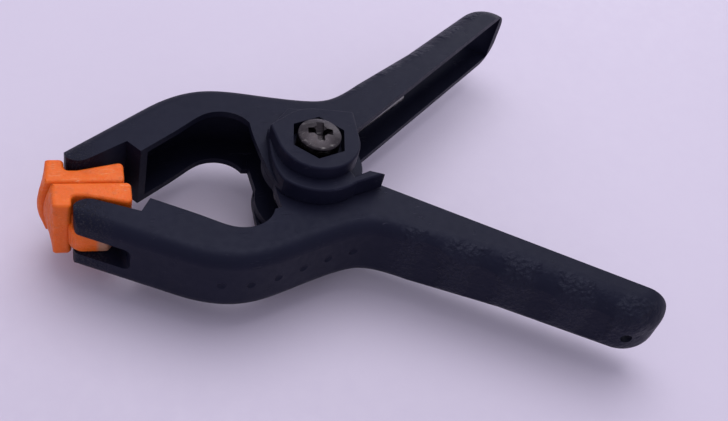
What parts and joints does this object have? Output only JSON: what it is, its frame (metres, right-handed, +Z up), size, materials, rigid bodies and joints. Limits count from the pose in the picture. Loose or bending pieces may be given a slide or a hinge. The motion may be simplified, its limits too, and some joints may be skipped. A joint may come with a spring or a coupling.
{
  "type": "spring clamp",
  "caption": "Small plastic spring clamp with two channel-section arms on a screw pivot, a torsion spring and swivelling jaw pads.",
  "frame": {"origin": "bottom centre of the closed clamp's box, lying flat on its lower boss", "axes": "+X from the jaws to the handles, +Z up along the pivot, +Y towards the rear arm"},
  "size_m": [0.0898, 0.0728, 0.0232],
  "materials": {
    "nylon": "satin moulded black nylon with pebbled grips",
    "pad": "soft orange moulded plastic",
    "screw_steel": "dark blackened steel",
    "spring_steel": "oiled spring wire"
  },
  "bodies": {
    "front_arm": {"front_arm": "nylon", "pivot_screw": "screw_steel", "hex_nut": "screw_steel", "torsion_spring": "spring_steel"},
    "rear_arm": {"rear_arm": "nylon"},
    "front_pad": {"front_pad": "pad"},
    "rear_pad": {"rear_pad": "pad"}
  },
  "joints": [
    {"name": "jaw_hinge", "type": "hinge", "parent": "front_arm", "child": "rear_arm", "pos_m": [-0.00391, 0, 0.01087], "axis": [0, 0, -1], "range_deg": [0, 48], "stiffness_Nm_per_rad": 0.25, "springref_deg": -40.11, "deforming": ["torsion_spring"]},
    {"name": "rear_pad_swivel", "type": "hinge", "parent": "rear_arm", "child": "rear_pad", "pos_m": [-0.03891, 0.0043, 0.01087], "axis": [0, 0, 1], "range_deg": [0, 18]},
    {"name": "front_pad_swivel", "type": "hinge", "parent": "front_arm", "child": "front_pad", "pos_m": [-0.03891, -0.0043, 0.01087], "axis": [0, 0, -1], "range_deg": [0, 6]}
  ],
  "couplings": [
    {"joint": "rear_pad_swivel", "follows": "jaw_hinge", "ratio": 0.375},
    {"joint": "front_pad_swivel", "follows": "jaw_hinge", "ratio": 0.125}
  ]
}
